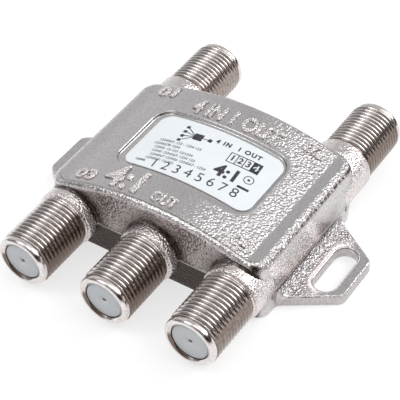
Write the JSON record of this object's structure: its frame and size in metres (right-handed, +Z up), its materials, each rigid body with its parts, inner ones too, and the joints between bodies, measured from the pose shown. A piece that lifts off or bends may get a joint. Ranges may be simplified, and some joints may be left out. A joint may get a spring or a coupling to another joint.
{
  "type": "satellite switch",
  "caption": "Die-cast satellite antenna switch: arched metal body with threaded coaxial ports on opposite walls, slotted ears at the ends, a label recess and a pressed cover below.",
  "frame": {"origin": "under the middle of the whole part, on the plane of the underside; the rear ports stand out farther than the front ones, so the middle of the body lies 0.8 mm in front of it", "axes": "+X along the row of ports on the front wall, +Y towards the rear wall, +Z up through the arched top"},
  "size_m": [0.057, 0.0566, 0.015],
  "materials": {
    "nickel_casting": "nickel plate over a finely grained zinc die casting, warm grey",
    "label_film": "printed film, cool white",
    "tinned_sheet": "tinned sheet, dull",
    "board_laminate": "green solder mask",
    "insulator_plastic": "pale moulded plastic, satin",
    "contact_bronze": "phosphor bronze, lightly plated",
    "ferrite": "dark ferrite with enamelled wire",
    "moulded_black": "moulded black, matt",
    "ceramic_tan": "tan ceramic with tinned ends",
    "can_aluminium": "drawn aluminium can on a black base"
  },
  "bodies": {
    "root": {"housing": "nickel_casting", "label": "label_film", "bottom_cover": "tinned_sheet", "circuit_board": "board_laminate", "insulator_front_left": "insulator_plastic", "insulator_front_middle": "insulator_plastic", "insulator_front_right": "insulator_plastic", "insulator_rear_left": "insulator_plastic", "insulator_rear_right": "insulator_plastic", "contact_front_left": "contact_bronze", "contact_front_middle": "contact_bronze", "contact_front_right": "contact_bronze", "contact_rear_left": "contact_bronze", "contact_rear_right": "contact_bronze", "choke_front_left": "ferrite", "choke_front_middle": "ferrite", "choke_front_right": "ferrite", "choke_rear_left": "ferrite", "choke_rear_right": "ferrite", "inner_diode_front_left": "moulded_black", "outer_diode_front_left": "moulded_black", "inner_diode_front_right": "moulded_black", "outer_diode_front_right": "moulded_black", "inner_diode_rear_left": "moulded_black", "outer_diode_rear_left": "moulded_black", "inner_diode_rear_right": "moulded_black", "outer_diode_rear_right": "moulded_black", "transistor_front_left": "moulded_black", "transistor_front_right": "moulded_black", "transistor_rear_left": "moulded_black", "transistor_rear_right": "moulded_black", "tone_transistor": "moulded_black", "microcontroller": "moulded_black", "resonator": "ceramic_tan", "regulator": "moulded_black", "bulk_capacitor": "can_aluminium", "ceramic_capacitors": "ceramic_tan", "chip_resistors": "moulded_black"}
  },
  "joints": []
}
